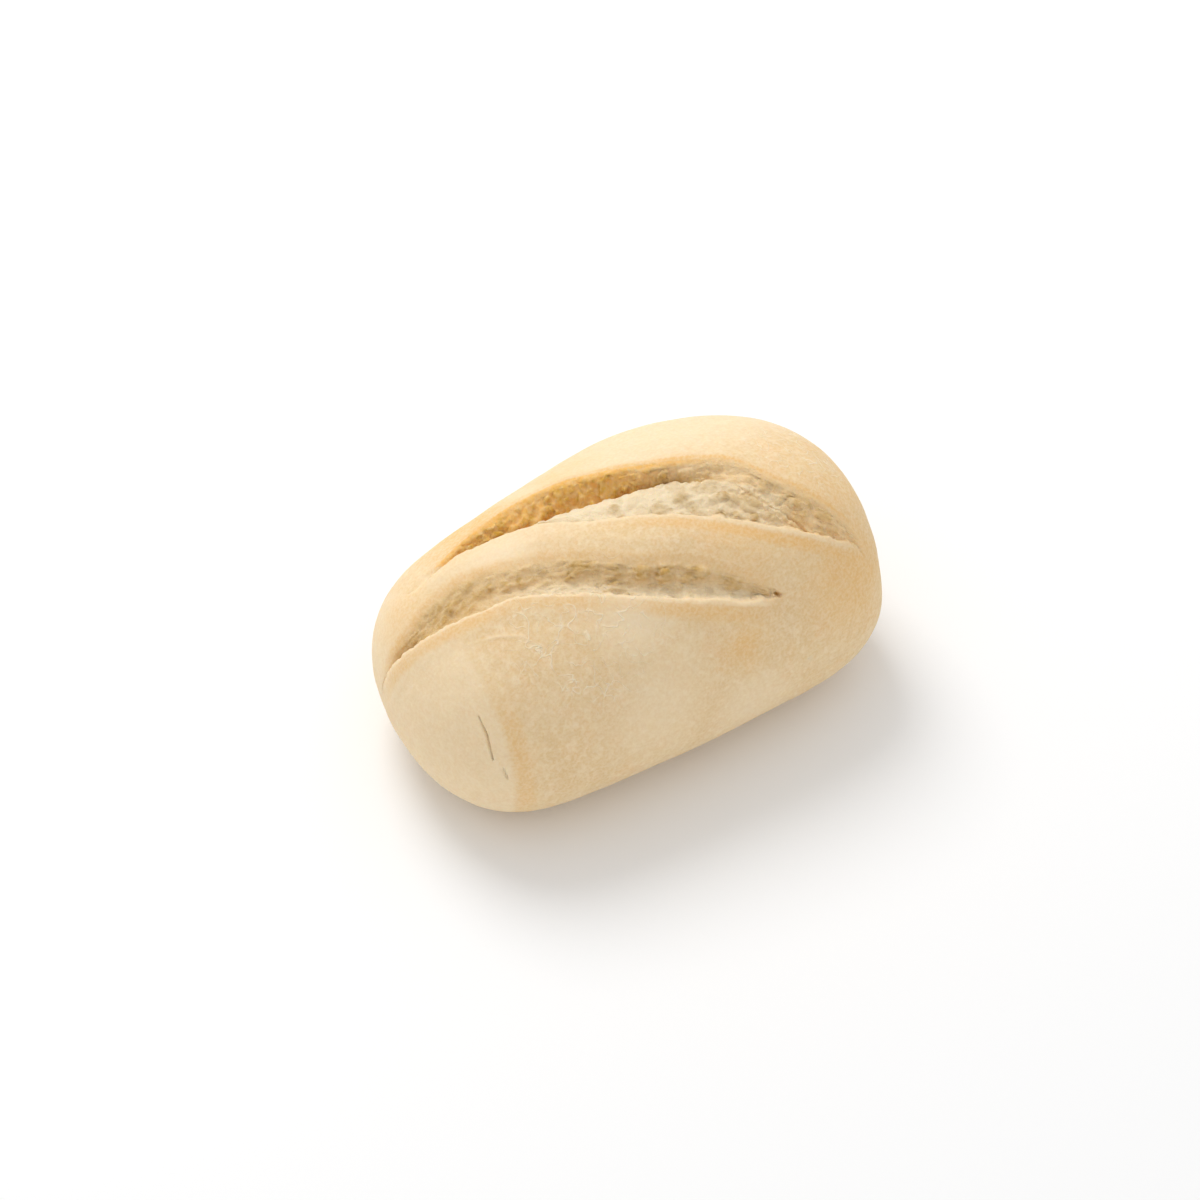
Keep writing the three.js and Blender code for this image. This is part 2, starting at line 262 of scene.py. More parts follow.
def rear_slash(share, behind, point):
    """Height of the rear slash at a point on the loaf, and its colours, painted shade and relief: a share
    for each layer of the colour, the painted shade on the crumb among them, and each size of relief. The
    share and behind are the point's place beside the slash."""
    opening = smooth(-0.02, 0.02, share) * (1 - smooth(0.93, 1, share))
    if opening == 0 or behind > 24 or behind < -8:
        return 0.0, None
    cleft, mound, width = rear_edges(share)
    ragged = 0.3 * noise.noise(point / 1.6) + 0.25 * noise.noise(point / 4.5)
    ragged += 0.15 * noise.noise(point / 0.6)
    distance = smooth_line(REAR_BACK_LIP, share) - behind
    lip_distance = distance + 0.4 * ragged * smooth(-2, 0, distance)
    distance += ragged * band(distance, 1.6, width + 0.3, 0.8)
    lift = smooth_line(REAR_LIFT, share)
    depth = smooth_line(CLEFT_DEPTH, share)
    drop = MOUND_DROP * min(opening, smooth(-0.05, 0.1, share))
    shelf = smooth(0.58, 0.72, share)
    behind_lip = max(width - 0.45, mound + 0.3)
    middle = mix(mound, behind_lip, 0.5)
    lip = max(width, behind_lip + 0.15)
    height = smooth_line((
        (-11, 0),
        (-3.2, lift * 0.75),
        (-0.7, lift),
        (0, lift - 0.06 * opening),
        (0.5, lift - 0.3 * opening),
        (CRUST_EDGE, lift - mix(1.0, 0.8, shelf) * opening),
        (cleft, -depth),
        (mix(cleft, mound, 0.4), -depth),
        (mound, -drop * mix(1, 0.3, shelf)),
        (middle, -drop * mix(0.4, 0.6, shelf)),
        (behind_lip, -0.8 * drop),
        (lip, 0.2 * opening),
        (lip + 0.7, 0.3 * opening),
        (lip + 4, 0),
    ), lip_distance if distance < 1.2 else distance)
    right = smooth(0.5, 0.66, share)
    torn = smooth(0.05, 0.4, distance) * (1 - smooth(width - 0.4, width - 0.05, distance))
    torn *= smooth(-0.015, 0.005, share) * (1 - smooth(0.95, 0.99, share))
    wall = (1 - smooth(cleft, mound, distance)) * torn
    folds = math.sin(distance * 2 * math.pi / FOLD_SPACING + 5.0 * noise.noise(point / 4.5))
    height += FOLD_HEIGHT * folds * right * torn * smooth(1.3, 2.2, distance)
    tan = mix(0.6, 1.0, smooth(0.3, 0.55, share)) * band(distance, -0.3, 0.4, 0.8) * opening
    tan = max(tan, 0.95 * smooth(0.3, 0.65, share) * band(distance, width + 1.4, width + 2.2, 1.3))
    by_lip = band(distance, width - 1.9, width - 0.6, 0.4) * smooth(0.45, 0.55, share)
    golden = (1 - smooth(cleft, mound, distance)) * mix(1.0, 0.4, smooth(0.42, 0.6, share))
    golden = max(golden, 0.15 * shelf, 0.45 * smooth(0.74, 0.84, share))
    golden = max(golden, mix(1.0, 0.5, smooth(0.5, 0.7, share)) * (1 - smooth(0.6, 1.5, distance)))
    rough = torn * smooth(0.3, 1.3, distance)
    return height, {
        "crumb": torn,
        "golden": golden,
        # Painted shade on the crumb's wall, darkest down towards the cleft.
        "crumb_shade": 0.45 * wall * smooth(0.5, 1.0, distance / cleft) * (1 - shelf),
        "tan": tan,
        "light": 0.6 * band(distance, width + 0.1, width + 0.6, 0.4) * opening,
        "large": mix(mix(0.35, 0.45, right), 0.5, wall) * rough,
        "small": max(mix(0.12, mix(0.8, 0.25, right), max(wall, right)), 0.5 * by_lip) * rough,
        "fibre": mix(0.14, mix(0.5, 0.2, right), max(wall, right)) * rough,
    }


def front_slash(share, behind, point):
    """Height of the front slash at a point on the loaf, and its colours, painted shade and relief, as for
    the rear one.
    """
    opening = smooth(0, 0.05, share) * (1 - smooth(0.93, 1, share))
    if opening == 0 or behind > 16 or behind < -12:
        return 0.0, None
    width = smooth_line(FRONT_BACK_EDGE, share) - smooth_line(FRONT_FRONT_LIP, share)
    ragged = 0.3 * noise.noise(point / 1.3) + 0.2 * noise.noise(point / 4)
    ragged += 0.15 * noise.noise(point / 0.6)
    distance = smooth_line(FRONT_BACK_EDGE, share) - behind
    distance += ragged * band(distance, 0.5, width + 0.3, 0.8)
    depth = FRONT_DEPTH * opening * mix(0.72, 1, smooth(0.08, 0.2, share))
    depth *= mix(1, 0.7, smooth(0.6, 0.95, share))
    height = smooth_line((
        (-SHOULDER, 0),
        (-1.5, -0.28 * SHOULDER_DROP * opening),
        (0, -SHOULDER_DROP * opening),
        (width * 0.35, -0.8 * depth),
        (width * 0.6, -depth),
        (width * 0.82, -0.92 * depth),
        (width - 0.35, -0.65 * depth),
        (width, 0.25 * opening),
        (width + 0.8, 0.45 * opening),
        (width + 5, 0),
    ), distance)
    torn = smooth(-0.8, 0.8, distance) * (1 - smooth(width - 0.4, width - 0.05, distance))
    torn *= smooth(0.01, 0.05, share) * (1 - smooth(0.96, 1, share))
    upper = 1 - smooth(0.4, 0.75, distance / max(width, 0.1))
    left = 1 - smooth(0.2, 0.45, share)
    tan = mix(0.85, 0.5, smooth(0.2, 0.4, share)) * band(distance, -0.6, 1.0, 2.4)
    front_tan = mix(0.75, 0.35, smooth(0.12, 0.4, share)) + 0.4 * band(share, 0.72, 0.85, 0.1)
    tan = max(tan, front_tan * band(distance, width + 1.1, width + 2.0, 1.4))
    return height, {
        "crumb": torn,
        "golden": max(0.3 * upper, 0.3 * left),
        # Painted shade on the crumb, heavier in the slash's upper part and in its narrow left end.
        "crumb_shade": max(mix(0.04, 0.24, upper), 0.5 * left),
        "tan": tan * opening,
        "light": 0.7 * band(distance, width + 0.05, width + 0.5, 0.4) * opening,
        "large": 0.25 * torn,
        "small": mix(0.35, 0.6, smooth(0.3, 0.5, share)) * torn,
        "fibre": 0.25 * torn,
    }


# --- The marks in the crust ---
# Places where the skin cracked, creased or pored as the crumb inside grew, a wrinkle that stands up,
# a shallow dent in the front side, and broad tints, tan or pale, which are partly the oven's colour
# and partly painted shade and painted light.

# Each is a line of points, its half width, its depth, and the painted shade on the crumb in it,
# which is 0 where the skin is whole. The last is the wrinkle, with a depth below 0.
GROOVES = (
    (((-39.9, -13.0, 31.4), (-39.9, -15.7, 28.8), (-40.3, -18.2, 24.5)), 0.42, 0.7, 0.45),
    (((-39.2, -19.5, 23.5), (-38.9, -20.8, 20.7)), 0.3, 0.5, 0.4),
    (((21.6, -3.2, 47.4), (23.0, -6.6, 46.7), (25.8, -10.6, 45.1)), 0.7, 0.4, 0),
    (((26.2, -10.8, 45.0), (28.2, -13.7, 43.0), (29.9, -16.2, 41.0)), 0.6, 0.8, 0),
    (((-32.1, 16.2, 37.5), (-34.8, 15.7, 36.4), (-37.0, 16.0, 35.0)), 1.9, 0.4, 0),
    (((18.8, -21.3, 36.1), (19.3, -21.7, 35.7)), 0.6, 1.2, 1),
    (((22.3, -27.4, 21.2), (22.9, -27.4, 20.8)), 0.6, 0.3, 0.2),
    (((-36.0, -3.0, 38.9), (-30.6, -5.9, 40.7), (-27.5, -8.0, 40.9), (-25.5, -11.6, 39.8)), 0.5, -0.15, 0),
)
GROOVE_REACH = 2.0
DENT_PLACE = Vector((10.0, -24.7, 30.0))
DENT_REACH = 6.0
DENT_DEPTH = 0.45
# The place, the reach and the strength of each tint, pale where that is below 0. Most are the
# crust's own colour; the tan on the round end and on the strip's right end is partly painted shade,
# the pale on the strip's left end is a painted highlight, and the pale low on the front side is
# partly painted light thrown up by the table.
TINTS_AND_PAINTED_LIGHT = (
    ((-21.0, 20.5, 37.5), 15.0, 1.25), ((37.0, -10.0, 38.0), 24.0, 0.5),
    ((35.0, -21.0, 31.0), 17.0, 0.95), ((-2.0, 20.5, 41.0), 14.0, 0.55),
    ((16.0, -14.0, 43.0), 13.0, 0.4), ((10.0, -24.7, 30.0), 8.0, 0.7),
    ((-9.0, -25.0, 26.0), 18.0, -0.7), ((-23.0, 9.5, 42.5), 13.0, -1.3),
    ((-40.0, 13.0, 33.5), 12.0, 0.55), ((9.0, -28.0, 16.5), 14.0, -0.8),
    ((-8.0, -15.0, 40.0), 12.0, -1.1),
)


def groove_distance(point, line):
    """Millimetres from a line, counted larger near the line's ends, so that a groove tapers off."""
    nearest = 1e9
    for i in range(1, len(line)):
        start = Vector(line[i - 1])
        end = Vector(line[i])
        _, share = geometry.intersect_point_line(point, start, end)
        share = min(max(share, 0.0), 1.0)
        nearest = min(nearest, (point - start.lerp(end, share)).length)
    end_gap = min((point - Vector(line[0])).length, (point - Vector(line[-1])).length)
    length = (Vector(line[-1]) - Vector(line[0])).length
    return nearest / mix(0.3, 1, smooth(0, 0.35, end_gap / length))


# --- The largest cells ---
# Gas bubbles that the tear cut open: deep round pits in a row under the front slash's back edge and
# along the rear slash's front lip, and shallow windows in the mound. Place, radius and depth of each.
LARGE_CELLS = (
    ((-11.8, -2.3, 45.2), 1.3, 0.8), ((-9.6, -3.7, 45.2), 1.2, 0.7), ((-5.6, -5.5, 45.1), 0.8, 0.8),
    ((-6.1, -6.8, 44.8), 0.8, 0.7), ((-2.2, -9.2, 44.2), 1.5, 1.2), ((1.2, -11.4, 43.5), 1.6, 1.4),
    ((1.7, -9.6, 44.3), 1.1, 0.9), ((7.5, -13.9, 42.5), 1.6, 1.2), ((12.0, -18.0, 39.6), 1.7, 0.5),
    ((4.5, -13.6, 42.4), 1.0, 0.5), ((17.2, -20.8, 36.8), 0.8, 0.5), ((-8.0, -8.7, 43.8), 1.2, 0.9),
    ((-13.5, -2.6, 44.9), 0.8, 0.8), ((-21.8, 1.9, 44.0), 0.9, 0.7), ((-24.4, 3.0, 43.4), 1.0, 0.7),
    ((-27.0, 4.8, 42.7), 0.8, 0.7), ((-34.8, 6.8, 39.6), 0.9, 0.6),
    ((7.0, -0.2, 47.1), 1.7, 0.35), ((11.5, -0.1, 47.4), 1.8, 0.35), ((0.2, 5.0, 46.4), 1.3, 0.3),
    ((12.3, -3.2, 47.2), 1.1, 0.35), ((15.6, -0.5, 47.6), 1.4, 0.35), ((21.9, -7.6, 46.4), 2.2, 0.45),
    ((18.2, -4.2, 47.2), 1.1, 0.9), ((16.1, -7.0, 46.5), 0.8, 0.7), ((18.4, -8.5, 46.0), 0.9, 0.7),
    ((21.4, -10.1, 45.4), 0.8, 0.7), ((24.6, -11.7, 44.6), 0.8, 0.7), ((28.9, -10.5, 44.8), 1.1, 0.6),
    ((-5.6, 14.5, 43.7), 0.9, 0.7), ((-2.2, 12.2, 44.8), 1.0, 0.8), ((1.7, 10.8, 45.5), 1.1, 0.9),
    ((-12.0, 14.2, 43.1), 0.9, 0.7), ((-16.6, 16.1, 41.6), 0.8, 0.7),
)


def large_cell(point):
    """Depth of the largest cells at a point, and the painted shade on the crumb there: a light painted
    shade inside each cell, and a painted shadow darkest under its back edge.
    """
    depth = 0.0
    painted_shade = 0.0
    for place, radius, deepest in LARGE_CELLS:
        offset = (point - Vector(place)) / radius
        if offset.length > 1.5:
            continue
        gap = offset.length + 0.25 * noise.noise(point / 1.3) + 0.1 * noise.noise(point / 0.5)
        inside = 1 - smooth(0.6, 1.1, gap)
        shadow_under_edge = band(gap, 0.55, 0.95, 0.3) * smooth(0.1, 0.7, offset.y)
        depth = max(depth, deepest * inside)
        painted_shade = max(painted_shade, 0.35 * inside, deepest * shadow_under_edge)
    return depth, painted_shade


# --- The roll's surface ---
# One closed skin: crust that wrinkled finely as it cooled, and where it tore, open crumb with round
# cells of all sizes. It starts as a sphere, whose rows of faces stand as rings across the roll, and
# whose columns run from end to end and gather on the slashes' lines.
ROWS = 232
SIDE_ANGLE = math.radians(100)
SLASH_LIMIT = math.radians(84)
LINE_GAP = math.radians(1.2)
BASE_COLUMNS = 20
BACK_COLUMNS = 40
LARGE_CELL_SIZE = 3.0
SMALL_CELL_SIZE = 1.5
# The place and the reach of the two patches of fine wrinkles.
WRINKLED_PATCHES = (((-16.5, -13.0, 39.5), 16.0), ((38.0, 0.0, 44.5), 11.0))


def front_lip(share):
    return smooth_line(FRONT_FRONT_LIP, share)


def front_back(share):
    return smooth_line(FRONT_BACK_EDGE, share)


def rear_front(share):
    return smooth_line(REAR_FRONT_LIP, share)


def rear_back(share):
    return smooth_line(REAR_BACK_LIP, share)


FRONT_ENDS = (FRONT_LEFT, FRONT_RIGHT)
REAR_ENDS = (REAR_LEFT, REAR_RIGHT)
# Each line that the columns gather on: the columns between it and the line before, the ends of its
# slash, and how far it lies behind the straight line between them.
LINES = (
    (44, FRONT_ENDS, lambda share: front_lip(share) - 5),
    (9, FRONT_ENDS, lambda share: front_lip(share) - RIM),
    (4, FRONT_ENDS, front_lip),
    (4, FRONT_ENDS, lambda share: front_lip(share) + 0.6),
    (29, FRONT_ENDS, front_back),
    (9, FRONT_ENDS, lambda share: front_back(share) + SHOULDER),
    (10, REAR_ENDS, lambda share: rear_front(share) - RIM),
    (4, REAR_ENDS, rear_front),
    (4, REAR_ENDS, lambda share: rear_front(share) + 0.6),
    (31, REAR_ENDS, lambda share: rear_back(share) - rear_edges(share)[1]),
    (5, REAR_ENDS, lambda share: rear_back(share) - rear_edges(share)[0]),
    (21, REAR_ENDS, lambda share: rear_back(share) - CRUST_EDGE),
    (6, REAR_ENDS, rear_back),
    (7, REAR_ENDS, lambda share: rear_back(share) + 3.2),
    (9, REAR_ENDS, lambda share: rear_back(share) + 10),
)
# The spans that the finer faces of the front slash's lip and of the rear slash's crumb lie between.
FINE_SPANS = (3, 5, 8, 13)


def line_angle(turn, ends, bow):
    """The angle at which the row at that turn crosses the line a bow behind a slash's ends."""
    low = -SLASH_LIMIT
    high = SLASH_LIMIT
    for _ in range(16):
        angle = (low + high) / 2
        point = loaf_point(*direction_at(turn, angle))
        share, behind = slash_place(*ends, point.x, point.y)
        if behind > bow(share):
            high = angle
        else:
            low = angle
    return (low + high) / 2


def span_angles(turn):
    """The angles between which a row's columns are spread evenly, from the base's middle round."""
    angles = [line_angle(turn, ends, bow) for _, ends, bow in LINES]
    for i in range(1, len(angles)):
        angles[i] = max(angles[i], angles[i - 1] + LINE_GAP)
    angles[-1] = min(angles[-1], SLASH_LIMIT)
    for i in range(len(angles) - 2, -1, -1):
        angles[i] = min(angles[i], angles[i + 1] - LINE_GAP)
    return [-math.pi, -SIDE_ANGLE, *angles, SIDE_ANGLE, math.pi]


spans = [BASE_COLUMNS, *(line[0] for line in LINES), BACK_COLUMNS, BASE_COLUMNS]
columns = sum(spans)
row_table = [span_angles(math.pi * row / ROWS) for row in range(ROWS + 1)]


def sphere_place(co):
    """Turn along the roll, and column round it, of a point on the sphere."""
    turn = math.acos(min(max(co.z / co.length, -1.0), 1.0))
    column = (math.atan2(co.y, co.x) / (2 * math.pi) % 1.0) * columns
    return turn, column


def sphere_direction(turn, column):
    """The loaf's direction for a place on the sphere, whose columns are spread over the spans."""
    row = min(turn / math.pi * ROWS, ROWS - 1e-6)
    span = 0
    while span < len(spans) - 1 and column > spans[span]:
        column -= spans[span]
        span += 1
    share = column / spans[span]
    angles = []
    for ends in (row_table[int(row)], row_table[int(row) + 1]):
        angles.append(mix(ends[span], ends[span + 1], share))
    return direction_at(turn, mix(*angles, row % 1.0))


roll_mesh = bmesh.new()
bmesh.ops.create_uvsphere(roll_mesh, u_segments=columns, v_segments=ROWS, radius=1.0)


def in_finer_part(turn, column):
    """Whether a place is on the front slash's lip or in the rear slash's crumb."""
    front_start, front_end, rear_start, rear_end = (sum(spans[:span]) for span in FINE_SPANS)
    in_front = front_start - 0.5 < column < front_end + 0.5 and 0.3 < turn < 2.05
    in_rear = rear_start - 0.5 < column < rear_end + 0.5 and 0.7 < turn < 2.55
    return in_front or in_rear


finer_edges = []
for edge in roll_mesh.edges:
    (start_turn, start_column), (end_turn, end_column) = (sphere_place(vert.co) for vert in edge.verts)
    if abs(start_column - end_column) < 0.1:
        if in_finer_part(start_turn, start_column) and in_finer_part(end_turn, end_column):
            finer_edges.append(edge)
bmesh.ops.subdivide_edges(roll_mesh, edges=finer_edges, cuts=1, use_grid_fill=True)

near_groove = set()
for vert in roll_mesh.verts:
    point = loaf_point(*sphere_direction(*sphere_place(vert.co)))
    if any(groove_distance(point, groove[0]) < GROOVE_REACH for groove in GROOVES):
        near_groove.add(vert)
groove_edges = [edge for edge in roll_mesh.edges if all(vert in near_groove for vert in edge.verts)]
bmesh.ops.subdivide_edges(roll_mesh, edges=groove_edges, cuts=2, use_grid_fill=True)


# The noise that bends the cells starts from this seed, so the crumb is the same in every run.
noise.seed_set(1)


def cells(point, size, least):
    """Depth of the crumb's cells at a point, from 0 on the walls between cells to 1 in the deepest
    ones; the shallowest are least deep."""
    bent = point / size + 0.3 * noise.noise_vector(point / size * 1.7)
    distances, centres = noise.voronoi(bent)
    openness = mix(least, 1, abs(noise.cell(centres[0] * 7.3)))
    return smooth(0.03, 0.4, distances[1] - distances[0]) * openness


LAYERS = ("crumb", "golden", "tan", "pale_and_lit", "crumb_shade", "wrinkled")
layers = {name: roll_mesh.verts.layers.float.new(name) for name in LAYERS}
reliefs = []
for vert in roll_mesh.verts:
    turn, column = sphere_place(vert.co)
    direction = sphere_direction(turn, column)
    point = loaf_point(*direction)
    normal = loaf_normal(direction)
    upper = smooth(8, 15, point.z)
    height = 0.0
    relief = (0.0, 0.0, 0.0, 0.0)
    light = 0.0
    tan = 0.5 * (1 - smooth(0, 4, point.z))
    if upper > 0:
        rear_place = slash_place(*REAR_ENDS, point.x, point.y)
        front_place = slash_place(*FRONT_ENDS, point.x, point.y)
        for place, slash in ((rear_place, rear_slash), (front_place, front_slash)):
            slash_height, colours_shade_and_relief = slash(*place, point)
            height += upper * slash_height
            if colours_shade_and_relief:
                tan = max(tan, colours_shade_and_relief["tan"] * upper)
                light = max(light, colours_shade_and_relief["light"])
                if colours_shade_and_relief["crumb"] > 0:
                    for name in ("crumb", "golden"):
                        vert[layers[name]] = colours_shade_and_relief[name]
                    # The largest cells sink the crumb, darkened by their painted shade and painted shadow.
                    cell, painted_shade = (amount * colours_shade_and_relief["crumb"] for amount in large_cell(point))
                    vert[layers["crumb_shade"]] = min(colours_shade_and_relief["crumb_shade"] + painted_shade, 1)
                    relief = (colours_shade_and_relief["large"], colours_shade_and_relief["small"], colours_shade_and_relief["fibre"], cell)
        strip = smooth(0, 5, rear_front(rear_place[0]) - rear_place[1])
        strip *= smooth(0, 6, front_place[1] - front_back(front_place[0]))
        height += STRIP_PUFF * strip * smooth(-44, -30, point.x) * (1 - smooth(15, 34, point.x))
    height -= DENT_DEPTH * (1 - smooth(0, DENT_REACH, (point - DENT_PLACE).length))
    for line, half_width, depth, painted_shade in GROOVES:
        off_line = groove_distance(point, line)
        if off_line < GROOVE_REACH:
            in_groove = 1 - smooth(0, half_width, off_line)
            height -= depth * in_groove
            if depth < 0:
                light = max(light, 0.6 * in_groove)
            elif painted_shade > 0:
                # Where the skin opened, the crumb shows in the crack, darkened by painted shade.
                vert[layers["crumb"]] = max(vert[layers["crumb"]], in_groove)
                vert[layers["golden"]] = max(vert[layers["golden"]], (painted_shade - 0.5) * in_groove)
                vert[layers["crumb_shade"]] = max(vert[layers["crumb_shade"]], painted_shade * in_groove)
    beside_edge = beside_cut_edge(direction)
    edge_tan = band(beside_edge, 0.3, 1.8, 1.6) * smooth(-12, -4, -point.y)
    edge_tan *= 1 - smooth(30, 38, point.z)
    pale_cut_face = 0.65 - 0.65 * smooth(-1.5, 0.3, beside_edge)
    # The top and the back are paler as a painted highlight, where the wide light from above and behind
    # falls; the cut face is truly paler.
    painted_top_highlight = 0.7 * smooth(0, 14, point.y) * smooth(30, 44, point.z)
    pale_and_lit = max(pale_cut_face, painted_top_highlight, light)
    # Lay on the broad tints, of which some are painted shade and some painted light.
    for tint_place, reach, strength in TINTS_AND_PAINTED_LIGHT:
        tint_and_painted_light = strength * (1 - smooth(0, reach, (point - Vector(tint_place)).length))
        tan = max(tan, tint_and_painted_light)
        pale_and_lit = max(pale_and_lit, -tint_and_painted_light)
    vert[layers["tan"]] = max(tan, 0.5 * edge_tan) * (1 - light)
    vert[layers["pale_and_lit"]] = pale_and_lit
    for patch_place, reach in WRINKLED_PATCHES:
        wrinkled = 1 - smooth(0.6, 1.2, (point - Vector(patch_place)).length / reach)
        vert[layers["wrinkled"]] = max(vert[layers["wrinkled"]], wrinkled)
    reliefs.append(relief)
    vert.co = point + normal * height
bmesh.ops.recalc_face_normals(roll_mesh, faces=roll_mesh.faces)
roll_mesh.normal_update()

for vert, (large, small, fibre, cell) in zip(roll_mesh.verts, reliefs):
    point = vert.co.copy()
    crust = 1 - vert[layers["crumb"]]
    lift = 0.3 * noise.noise(point / 17) + crust * 0.1 * noise.noise(point / 5)
    if crust < 1:
        large_cells = cells(point, LARGE_CELL_SIZE, 0.25)
        small_cells = cells(point, SMALL_CELL_SIZE, 0.0)
        ridge = 1 - 2 * abs(noise.noise(point / 1.1))
        lift += fibre * ridge * 0.6 + fibre * noise.fractal(point / 2.2, 0.8, 2.0, 3)
        depth = large * large_cells + small * small_cells
        lift -= max(depth, cell)
        # Painted shade in the crumb's cells, darker where they are deeper.
        vert[layers["crumb_shade"]] = min(vert[layers["crumb_shade"]] + depth, 1)
    if point.z > 0.5:
        vert.co += vert.normal * lift * smooth(0.5, 6, point.z)
for vert in roll_mesh.verts:
    vert.co /= 1000

# The CAD solid stands where its frame says, and this mesh is laid on the same middle and base.
low_corner = Vector([min(vert.co[axis] for vert in roll_mesh.verts) for axis in range(3)])
high_corner = Vector([max(vert.co[axis] for vert in roll_mesh.verts) for axis in range(3)])
cad_low, cad_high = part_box("bread_roll")
shift = (Vector(cad_low) + Vector(cad_high) - low_corner - high_corner) / 2
shift.z = cad_low[2] - low_corner.z
bmesh.ops.translate(roll_mesh, vec=shift, verts=roll_mesh.verts)
for face in roll_mesh.faces:
    face.smooth = True

roll_data = bpy.data.meshes.new("roll_body")
roll_mesh.to_mesh(roll_data)
roll_mesh.free()
roll = bpy.data.objects.new("roll_body", roll_data)
bpy.context.scene.collection.objects.link(roll)


# --- Bread ---
# White wheat bread, baked only until its crust set: the crust is dry, matt and cream, paler on its
# cut face, lighter still on its top and back as a painted highlight, and tan on its thin edges; the
# torn crumb is whiter, with golden cells, and painted shade darkens its cells and hollows.
CREAM = "#ead0a4"
CLOUD = "#e0c08f"
PEACH = "#e9bf8c"
# Pale flecks, and the colour of the painted highlight on the top and back.
PALE_AND_HIGHLIGHT = "#efd8b3"
TAN = "#e7ba78"
CRUMB = "#f3e0bd"
# The cell colours, on this line and two lines down, are painted shade in the white and the golden crumb.
SHADED_CELL = "#c2a067"
GOLDEN = "#f9c36f"
SHADED_GOLDEN_CELL = "#d8a540"
WRINKLE = "#f8e9cc"


def linear(code):
    """An sRGB hex colour as linear red, green, blue and alpha."""
    parts = [int(code[i:i + 2], 16) / 255 for i in (1, 3, 5)]
    return (*(part / 12.92 if part <= 0.04045 else ((part + 0.055) / 1.055) ** 2.4 for part in parts), 1.0)


def add_node(tree, kind, settings=(), links=()):
    """Adds a node; settings are (name, value) for its fields or inputs, links (input, socket)."""
    node = tree.nodes.new(kind)
    for name, value in settings:
        if isinstance(name, str) and hasattr(node, name):
            setattr(node, name, value)
        else:
            node.inputs[name].default_value = value
    for name, socket in links:
        tree.links.new(socket, node.inputs[name])
    return node


def per_metre(millimetres):
    """A texture's scale, which counts its features in a metre, for features of that size."""
    return 1000 / millimetres


bread = bpy.data.materials.new("light_baked_bread")
bread.use_nodes = True
tree = bread.node_tree
tree.nodes.clear()
place = add_node(tree, "ShaderNodeTexCoord").outputs["Object"]
layer = {}
for name in LAYERS:
    layer[name] = add_node(tree, "ShaderNodeAttribute", [("attribute_name", name)]).outputs["Fac"]


def patches(size, detail, rough, low, high, start=0.0, end=1.0):
    """A patchy pattern with features of a size in millimetres, which goes from start to end while its
    noise goes from low to high."""
    settings = [("Scale", per_metre(size)), ("Detail", detail), ("Roughness", rough)]
    level = add_node(tree, "ShaderNodeTexNoise", settings, [("Vector", place)]).outputs["Fac"]
    settings = [("From Min", low), ("From Max", high), ("To Min", start), ("To Max", end)]
    return add_node(tree, "ShaderNodeMapRange", settings, [("Value", level)]).outputs["Result"]


def wrinkle_lines(size, width):
    """Thin broken lines along the middle level of a noise, which curve round without crossing."""
    settings = [("Scale", per_metre(size)), ("Detail", 2.0), ("Roughness", 0.35), ("Distortion", 0.6)]
    level = add_node(tree, "ShaderNodeTexNoise", settings, [("Vector", place)]).outputs["Fac"]
    off_level = add_node(tree, "ShaderNodeMath", [("operation", "SUBTRACT"), (1, 0.5)], [(0, level)])
    gap = add_node(tree, "ShaderNodeMath", [("operation", "ABSOLUTE")],
                   [(0, off_level.outputs["Value"])])
    settings = [("From Max", width / size), ("To Min", 1.0), ("To Max", 0.0)]
    lines = add_node(tree, "ShaderNodeMapRange", settings, [("Value", gap.outputs["Value"])])
    shown = patches(size * 0.7, 1.0, 0.5, 0.38, 0.56)
    broken = add_node(tree, "ShaderNodeMath", [("operation", "MULTIPLY")],
                      [(0, lines.outputs["Result"]), (1, shown)])
    return broken.outputs["Value"]


wrinkles = add_node(tree, "ShaderNodeMath", [("operation", "MAXIMUM")],
                    [(0, wrinkle_lines(6.5, 0.08)), (1, wrinkle_lines(3.4, 0.08))])
wrinkles = add_node(tree, "ShaderNodeMath", [("operation", "MULTIPLY")],
                    [(0, wrinkles.outputs["Value"]), (1, layer["wrinkled"])]).outputs["Value"]
light_lines = add_node(tree, "ShaderNodeMath", [("operation", "MULTIPLY"), (1, 0.7)], [(0, wrinkles)])
pale_and_lit_parts = add_node(tree, "ShaderNodeMath", [("operation", "MULTIPLY"), (1, 0.85)],
                      [(0, layer["pale_and_lit"])])
tan_and_shaded_parts = add_node(tree, "ShaderNodeMath", [("operation", "MULTIPLY")],
                     [(0, layer["tan"]), (1, patches(6, 3.0, 0.5, 0.3, 0.6, 0.55, 1.0))])

# The crust is cream under all of these, each laid over the one before it: clouds, peach patches, a
# mottle, pale flecks, the pale parts, which are partly a painted highlight on the top and back and
# painted light low on the front, the tan parts, which are partly painted shade on the round end, a
# haze of flour, and the wrinkles' light lines.
crust_coats = (
    (patches(14, 3.0, 0.5, 0.35, 0.65, 0.0, 0.8), CLOUD),
    (patches(5.5, 3.0, 0.6, 0.48, 0.68, 0.0, 0.5), PEACH),
    (patches(2.2, 4.0, 0.65, 0.35, 0.65, 0.0, 0.65), CLOUD),
    (patches(1.5, 3.0, 0.6, 0.5, 0.66, 0.0, 0.6), PALE_AND_HIGHLIGHT),
    (pale_and_lit_parts.outputs["Value"], PALE_AND_HIGHLIGHT),
    (tan_and_shaded_parts.outputs["Value"], TAN),
    (patches(0.6, 3.0, 0.6, 0.38, 0.62, 0.0, 0.25), WRINKLE),
    (light_lines.outputs["Value"], WRINKLE),
)
under = []
